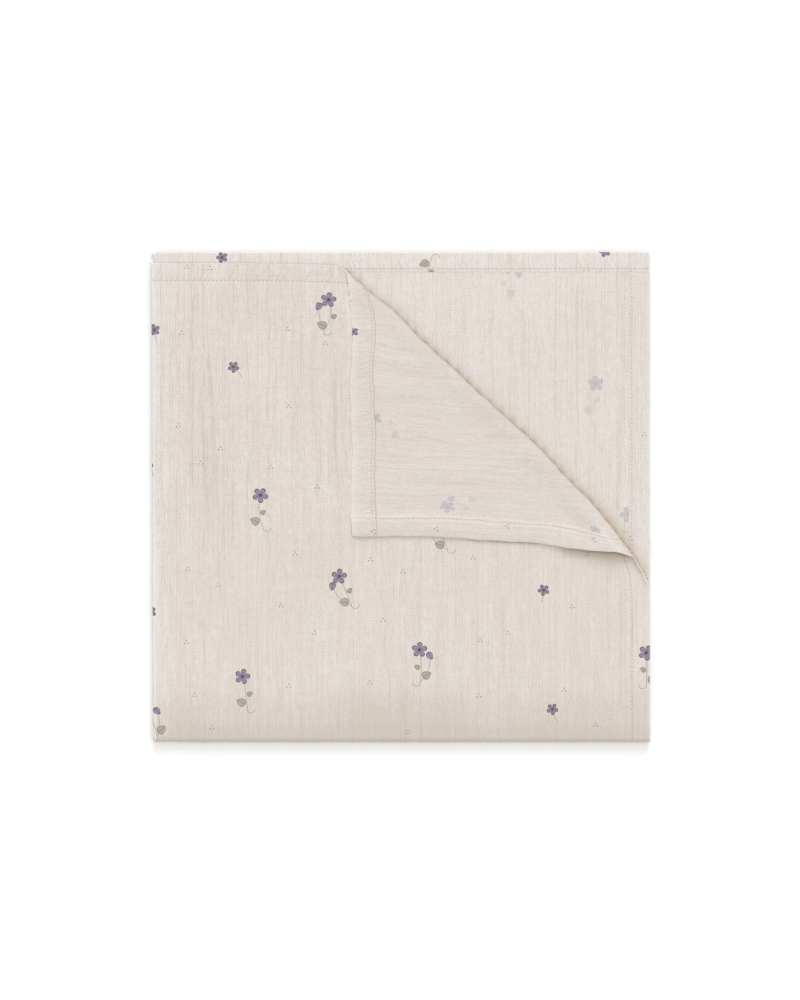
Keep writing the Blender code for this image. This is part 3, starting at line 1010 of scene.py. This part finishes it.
def dot_marks(column, row, x, y):
    """Marks of three dots, each moved at random from its place in the cell."""
    dots = x * 0
    for mark_x, mark_y, seed in DOT_MARKS:
        move_x, move_y, _ = random_values(column, row, seed)
        dot_x = x - mark_x - (move_x - 0.5) * DOT_MOVE[0]
        dot_y = y - mark_y - (move_y - 0.5) * DOT_MOVE[1]
        pair = length_of(abs(dot_x) - DOT_BESIDE, dot_y + DOT_BELOW)
        single = length_of(dot_x, dot_y - DOT_BESIDE)
        dots = dots.larger(pair.smaller(single).step(0.95, 0.5))
    return dots


def print_marks(x, y):
    """The print's stems, dots, leaves and petals at a place of the cloth."""
    column = (x / CELL_X).run("FLOOR")
    dropped = y + column % 2.0 * (CELL_Y / 2)
    row = (dropped / CELL_Y).run("FLOOR")
    local_x = x - (column + 0.5) * CELL_X
    local_y = dropped - (row + 0.5) * CELL_Y
    turn, flip, size = random_values(column, row, 3.0)
    bend, tip, bud_there = random_values(column, row, 7.0)
    move_x, move_y, spin = random_values(column, row, 12.0)
    small = size.step(0.55, 0.57)
    full = 1 - small
    angle = (turn - 0.5) * SPRAY_TURN
    cosine, sine = angle.run("COSINE"), angle.run("SINE")
    moved_x = local_x - (move_x - 0.5) * SPRAY_MOVE[0]
    moved_y = local_y - (move_y - 0.5) * SPRAY_MOVE[1]
    flipped = moved_x * (flip.run("GREATER_THAN", 0.5) * 2 - 1)
    px = flipped * cosine + moved_y * sine
    py = moved_y * cosine - flipped * sine - (FLOWER_HIGH - small * SMALL_HIGH)
    flower = bloom(px, py, FLOWER_RADIUS - small * SMALL_RADIUS, spin * 6)

    tall = STEM_LENGTH - small * SMALL_STEM
    lean, sway = (tip - 0.5) * STEM_LEAN, (bend - 0.5) * STEM_SWAY
    down = py / (tall * -1)
    beside = px - (sway * down * (1 - down) + lean * down * down)
    stem = abs(beside).step(0.52, 0.24) * (down.step(0.12, 0.16) * down.step(1.0, 0.98))
    below = py + tall
    hook = abs(length_of(px - lean + HOOK_RADIUS, below) - HOOK_RADIUS)
    stem = stem.larger(hook.step(0.48, 0.2) * below.step(0.2, -0.2) * full)
    leaves = merged(leaf(LARGE_LEAF, px, py, lean, sway), leaf(SMALL_LEAF, px, py, lean, sway), 1)
    leaves = Mark(*(mark * full for mark in leaves))

    bud_on = bud_there.step(0.52, 0.5) * full
    petals = merged(flower, leaf(BUD, px, py, lean, sway), bud_on)
    down = (py + BUD_STEM_TOP) / (tall * -1 + BUD_STEM_TOP)
    beside = px - (BUD.x + (lean - BUD.x) * down * down)
    bud_stem = abs(beside).step(0.5, 0.22) * down.step(0, 0.03) * down.step(1.0, 0.98)
    stem = stem.larger(bud_stem * bud_on)
    return stem, dot_marks(column, row, local_x, local_y), leaves, petals


# Fields of noise over the cloth: their sizes in millimetres, and their seeds.
Field = namedtuple("Field", "across along detail seed")
FIELDS = {
    "streaks": Field(3.4, 60, 3.0, 1.5),
    "threads": Field(0.9, 5, 2.0, 4.5),
    "slubs": Field(2.0, 1.0, 1.0, 8.5),
    "bands": Field(50, 2.8, 2.0, 6.5),
    "patches": Field(90, 130, 1.0, 2.5),
    "broad": Field(13, 150, 2.0, 71),
    "rib_meander": Field(40, 25, 1.0, 61),
    "rib_patches": Field(14, 9, 1.0, 63),
}
PUCKER_MEANDER = Field(9, 30, 1.0, 51)
PUCKER_PATCHES = Field(21, 1, 1.0, 53)
LINE_MEANDER = Field(55, 38, 2.0, 0)
LINE_WOBBLE = Field(8, 9, 1.0, 2)
LINE_RUNS = Field(1 / 7.3, 40, 3.0, 1)
# Thin pinched lines: one in each strip of this spacing, somewhere in its scattered middle share.
Pinch = namedtuple("Pinch", "spacing width seed scatter")
PINCHES = {
    "strong": Pinch(17, 0.62, 41, 0.7),
    "weak": Pinch(6.4, 0.55, 43, 0.7),
    "fine": Pinch(3.1, 0.6, 47, 0.3),
}
RIB_SPACING = 3.1
THREAD_SPACING = 0.9
PUCKER_SPACING = 6.4
PUCKER_SLANT = 0.51

# The ground's colours: its own, cooler, lower, in a pinched line, the painted shade beside the
# turned corner, the painted shadow right at its edges, and the painted highlight of a lit edge.
GROUND = (0.672, 0.629, 0.588, 1)
GROUND_COOL = (0.682, 0.654, 0.624, 1)
GROUND_LOW = (0.545, 0.490, 0.440, 1)
GROUND_PINCHED = (0.470, 0.400, 0.340, 1)
GROUND_CORNER_SHADE = (0.500, 0.395, 0.305, 1)
GROUND_CONTACT_SHADOW = (0.33, 0.225, 0.160, 1)
GROUND_PAINTED_LIGHT = (0.84, 0.80, 0.755, 1)
# What darkens the ground: from where, to where, by which share. The broad ones are weaker on the
# second quarter.
DARK_FIELDS = {"threads": (0.60, 0.34, 0.32), "slubs": (0.6, 0.34, 0.24)}
BROAD_FIELDS = {
    "streaks": (0.58, 0.32, 0.15),
    "bands": (0.56, 0.32, 0.07),
    "broad": (0.62, 0.34, 0.12),
}
# What pinches it, and what the bump is made of.
PINCHED = {"strong": 0.6, "weak": 0.48, "fine": 0.48}
SEWN_PINCHED = {"sewn": 0.22, "holes": 0.6}
RAISED = {"streaks": 0.5, "threads": 0.4, "slubs": 0.2, "bands": 0.12}
SUNK = {"strong": 0.45, "weak": 0.3, "fine": 0.2, "puckers": 0.6, "holes": 0.8, "hem_edge_groove_and_shade": 0.5}
BUMP_DISTANCE = 0.34 * MM


def pinched_lines(form, x, y):
    """Thin pinched lines along v, one to a strip, each with its own place, strength and runs."""
    meander = (field(LINE_MEANDER._replace(seed=form.seed), x, y) - 0.5) * 5
    wobble = (field(LINE_WOBBLE._replace(seed=form.seed + 2), x, y) - 0.5) * 1.1
    moved = x + meander + wobble
    strip = (moved / form.spacing).run("FLOOR")
    place, strength, _ = random_values(strip, 0.0, form.seed)
    off = abs(moved - (strip + (1 - form.scatter) / 2 + place * form.scatter) * form.spacing)
    runs = field(LINE_RUNS._replace(seed=form.seed + 1), strip, y).step(0.36, 0.62)
    return off.step(form.width, form.width * 0.3) * runs * (strength * 0.7 + 0.3)


def row_of_holes(across, along, count):
    """Needle holes between the stitches of a row, and the line that the row draws in."""
    pitch = STITCH_PITCH / MM
    phase = 0.0 if count % 2 else 0.5
    nearest = abs((along / pitch + phase) % 1.0 - 0.5) * pitch
    return length_of(across, nearest).step(1.0, 0.4), abs(across).step(1.1, 0.2)


def new_material(name):
    """A material and its shader."""
    material = bpy.data.materials.new(name)
    material.use_nodes = True
    return material, material.node_tree.nodes["Principled BSDF"]


def bumped(height, strength, distance):
    """The normals of a surface with a height over it."""
    inputs = {"Strength": strength, "Distance": distance, "Height": height}
    return add_node(height.tree, "Bump", inputs).outputs[0]


def cloth_place(tree):
    """A point's place on the cloth, in millimetres, and its quarter, side and hem."""
    source = add_node(tree, "UVMap", uv_map="sheet")
    parts = add_node(tree, "SeparateXYZ", {0: source.outputs[0]})
    names = FACE_ATTRIBUTES + POINT_ATTRIBUTES
    at = SimpleNamespace(**{name: stored(tree, name) for name in names})
    at.x, at.y = (Value(tree, parts.outputs[k]) * (1 / MM) for k in (0, 1))
    at.side = abs(HALF_WIDTH / MM - abs(at.x))
    at.end = abs(HALF_LENGTH / MM - abs(at.y))
    at.upper = at.x.step(-0.5, 0.5)
    at.turned = at.upper * (1 - at.front)
    at.second = (1 - at.front) * (1 - at.upper)
    # A strip along the first fold, painted lighter and cooler as a highlight.
    at.left_strip = at.x.step(42, 10) * at.front
    by_end = at.end.step(STITCH_INSET / MM + 0.5, STITCH_INSET / MM - 4)
    at.in_hem, at.second_hem = at.upper * by_end, at.second * by_end
    at.lively = at.front * at.upper * at.y.step(180, 320) * at.x.step(400, 250) * 0.2
    at.contrast = 1 - at.turned * 0.2 + at.lively
    return at


def cloth_details(at):
    """The gauze's noise and pinched lines, its hems' needle holes and puckers, and the turned hem's
    inner edge with painted shade.
    """
    row, hem = STITCH_INSET / MM, HEM_DEPTH / MM
    details = {name: field(form, at.x, at.y) for name, form in FIELDS.items()}
    details.update({name: pinched_lines(form, at.x, at.y) for name, form in PINCHES.items()})
    side_holes, side_line = row_of_holes(at.side - row, at.y, SIDE_STITCHES)
    end_holes, end_line = row_of_holes(at.end - row, at.x, END_STITCHES)
    past_band = at.end.step(hem - 0.4, hem)
    details["holes"] = (side_holes * past_band).larger(end_holes)
    details["sewn"] = (side_line * past_band).larger(end_line)
    meander = field(PUCKER_MEANDER, at.x, at.end) * 0.9
    stroke = (at.x + at.end * PUCKER_SLANT) / PUCKER_SPACING + meander
    puckers = abs(stroke % 1.0 - 0.5).step(0.14, 0.03)
    puckers = puckers * at.end.step(3, 17) * at.end.step(row, row - 0.6)
    details["puckers"] = puckers * field(PUCKER_PATCHES, at.x, 0.0).step(0.36, 0.6)
    # A groove with painted shade along the turned corner's hem inner edge.
    details["hem_edge_groove_and_shade"] = abs(at.end - hem - 1.4).step(1.2, 0.4) * at.turned
    return details


def mixed(details, shares):
    """The sum of some details, each by its share or its ramp."""
    total = 0
    for name, share in shares.items():
        detail = details[name]
        total = total + (detail.ramp(*share) if isinstance(share, tuple) else detail * share)
    return total


def near_shade(at):
    """The photo's shade along the second fold, by its place across the packet."""
    across = at.x.ramp(80, 40, 0.16) + at.x.ramp(185, 240, 0.34) * at.x.step(380, 310)
    across = across + at.x.ramp(370, 430, 0.18) + 0.22
    return at.y.step(76, 30) * (at.y.ramp(6, 22, 0.6) + 0.4) * across * at.front


def darkness(at, details):
    """How far the ground is lowered: by threads, streaks and ribs, and by painted shade in the
    crinkles' valleys, over the far hem and along the second fold.
    """
    # Painted shade in the crinkles' valleys, where their height is below 0.
    broad = mixed(details, BROAD_FIELDS) + at.crinkle.ramp(0.0, -0.32, 0.3)
    dark = mixed(details, DARK_FIELDS) + broad * (1 - at.second * 0.5)
    ribs = ((at.y + details["rib_meander"] * 7) * (2 * pi / RIB_SPACING)).run("SINE")
    dark = dark + ribs.step(0.1, 1.0) * details["rib_patches"].ramp(0.38, 0.65, 0.24)
    dark = dark * at.contrast + at.y.ramp(110, 420, 0.06) * at.front - at.lively * 0.6
    # Painted shade along the second fold; the turned corner a little darker.
    dark = dark + near_shade(at) + at.turned * 0.16
    # Painted shade over the top quarter's far hem band, fading out at its edge.
    dark = dark + at.front * at.in_hem * at.end.ramp(1, 9, 0.08)
    # Painted shade where the packet rounds over its second fold.
    dark = dark + abs(at.y).ramp(30, 6, 0.5) * at.upper
    # Painted highlight along the first fold; the second quarter's hem lighter.
    return (dark - at.left_strip * 0.14 - at.second_hem * 0.12).smaller(1.0)


def painted_edge_light(at):
    """How far the ground is painted lighter: painted highlights at edges, rims and folds, and
    painted light beside the turned corner's left edge.
    """
    light = at.side.smaller(at.end).ramp(2.6, 0.6, 0.12) + at.rim * 0.3
    light = light + abs(at.x).step(7, 2.5) * at.upper * 0.35
    light = light - at.end.step(3, 2) * at.x.step(-1, 1) * at.x.step(215, 195) * 0.1
    # Painted light that lifts the shadow beside the turned corner's left edge.
    light = light + at.left_gap.fading(0.7) * at.front * (0.35 + at.y.ramp(440, 500, 0.6))
    return light + at.turned * at.end.ramp(9, 2, 0.16)


def ground_colour(at, details):
    """The cloth's colour without its print."""
    cool = details["patches"].ramp(0.35, 0.65, 0.4) + (1 - at.front) * 0.5
    # The strip along the first fold is cooler with its painted highlight.
    cool = cool + (at.front * at.in_hem + at.left_strip + at.second_hem) * 0.6
    pinched = at.front * 0
    for name, share in PINCHED.items():
        pinched = pinched.larger(details[name] * share)
    pinched = (pinched * at.contrast).larger(details["puckers"] * 0.4)
    pinched = pinched.larger(mixed(details, SEWN_PINCHED))
    # Painted shade along the turned corner's hem inner edge.
    pinched = pinched.larger(details["hem_edge_groove_and_shade"] * 0.7).smaller(1.0)
    layers = (
        (cool, GROUND_COOL),
        (darkness(at, details), GROUND_LOW),
        (pinched, GROUND_PINCHED),
        # Painted shade beside the turned corner.
        (at.crevice, GROUND_CORNER_SHADE),
        # A thin painted shadow along the turned corner's fold and lower edge.
        (at.beside.fading(1.0) * 0.8, GROUND_CONTACT_SHADOW),
        # Painted highlights and painted light.
        (painted_edge_light(at), GROUND_PAINTED_LIGHT),
    )
    return layered(GROUND, layers)


def printed_colour(at, ground):
    """The ground with its print, faint on the cloth's back."""
    stem, dots, leaves, petals = print_marks(at.x - PRINT_X, at.y - PRINT_Y)
    inked, through = at.printed * 0.92, 1 - at.printed
    layers = (
        (through * leaves.blur * 0.28, INK_LEAF),
        (through * petals.blur * 0.5, INK_THROUGH),
        (through * petals.lines * 0.2, INK_PETAL_EDGE),
        (stem * inked, INK_STEM),
        (dots * (at.printed * 0.75 + 0.12), INK_DOT),
        (leaves.fill * inked, INK_LEAF),
        (leaves.lines * inked, INK_LEAF_EDGE),
        (petals.fill * inked, INK_PETAL),
        (petals.lines * inked, INK_PETAL_EDGE),
    )
    return layered(ground, layers)


def muslin():
    """Printed crinkled gauze."""
    material, shader = new_material("muslin")
    at = cloth_place(material.node_tree)
    details = cloth_details(at)
    turns = 2 * pi / THREAD_SPACING
    relief = ((at.x * turns).run("SINE") + (at.y * turns).run("SINE")) * 0.03
    relief = relief + mixed(details, RAISED) - mixed(details, SUNK)
    values = {
        "Base Color": printed_colour(at, ground_colour(at, details)),
        "Normal": bumped(relief * at.contrast, 1.0, BUMP_DISTANCE),
        "Roughness": 0.9 + details["threads"] * 0.08,
        "Metallic": 0.0,
        "Specular IOR Level": 0.25,
        "Sheen Weight": 0.12,
        "Sheen Roughness": 0.6,
    }
    set_inputs(shader, values)
    return material


def thread():
    """Off-white sewing thread with its twist."""
    material, shader = new_material("hem_thread")
    tree = material.node_tree
    place = add_node(tree, "TexCoord").outputs["Object"]
    wave = add_node(tree, "TexWave", {"Scale": 1400, "Distortion": 1.0, "Vector": place})
    twist = Value(tree, wave.outputs["Fac"])
    colour = layered((0.60, 0.54, 0.485, 1), [(twist, (0.71, 0.655, 0.61, 1))])
    normal = bumped(twist, 0.4, 0.05 * MM)
    set_inputs(shader, {"Base Color": colour, "Normal": normal, "Roughness": 0.75})
    return material


FLOOR_HALF = 30.0
FLOOR_LEVEL = -0.4 * MM
FLOOR_LOW = (0.875, 0.875, 0.875, 1)
FLOOR_HIGH = (0.885, 0.885, 0.885, 1)
SKY = {"Color": (1.0, 0.99, 0.98, 1), "Strength": 0.73}
# Lights: name, strength, angle in degrees, and the direction that each comes from.
SUNS = (("overhead", 0.82, 80, (0.1, 0.0, 1.0)), ("far", 1.65, 30, (0.1, 1.0, 0.49)))
LENS = 100
SENSOR = 36
FRAME_HEIGHT = 1.1
CAMERA = (-0.65 * MM, -3.1 * MM, 1.0015 * FRAME_HEIGHT * LENS / SENSOR + 9 * MM)


def make_stage():
    """A white floor, soft light from above and from the far side, and the camera straight above."""
    scene = bpy.context.scene
    mesh = bpy.data.meshes.new("floor")
    signs = ((-1, -1), (1, -1), (1, 1), (-1, 1))
    corners = [(x * FLOOR_HALF, y * FLOOR_HALF, FLOOR_LEVEL) for x, y in signs]
    mesh.from_pydata(corners, [], [(0, 1, 2, 3)])
    material, shader = new_material("floor")
    grain = add_node(material.node_tree, "TexNoise", {"Scale": 6}).outputs[0]
    colour = layered(FLOOR_LOW, [(Value(material.node_tree, grain), FLOOR_HIGH)])
    set_inputs(shader, {"Base Color": colour, "Roughness": 1.0, "Specular IOR Level": 0.0})
    mesh.materials.append(material)
    add_object("floor", mesh)

    scene.world = bpy.data.worlds.new("studio")
    scene.world.use_nodes = True
    set_inputs(scene.world.node_tree.nodes["Background"], SKY)
    for name, strength, angle, toward in SUNS:
        light = bpy.data.lights.new(name, "SUN")
        light.energy = strength
        light.angle = np.radians(angle)
        lamp = add_object(name, light)
        lamp.rotation_euler = Vector(toward).to_track_quat("Z", "Y").to_euler()

    camera = add_object("camera", bpy.data.cameras.new("camera"))
    camera.data.lens = LENS
    camera.data.sensor_width = SENSOR
    camera.location = CAMERA
    scene.camera = camera
    scene.view_settings.view_transform = "Standard"


blanket, shift = make_cloth()
blanket.data.materials.append(muslin())
stitches = make_stitches(shift)
stitches.data.materials.append(thread())
for piece in (blanket, stitches):
    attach(piece, "root")
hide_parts("swaddle_blanket")
make_stage()
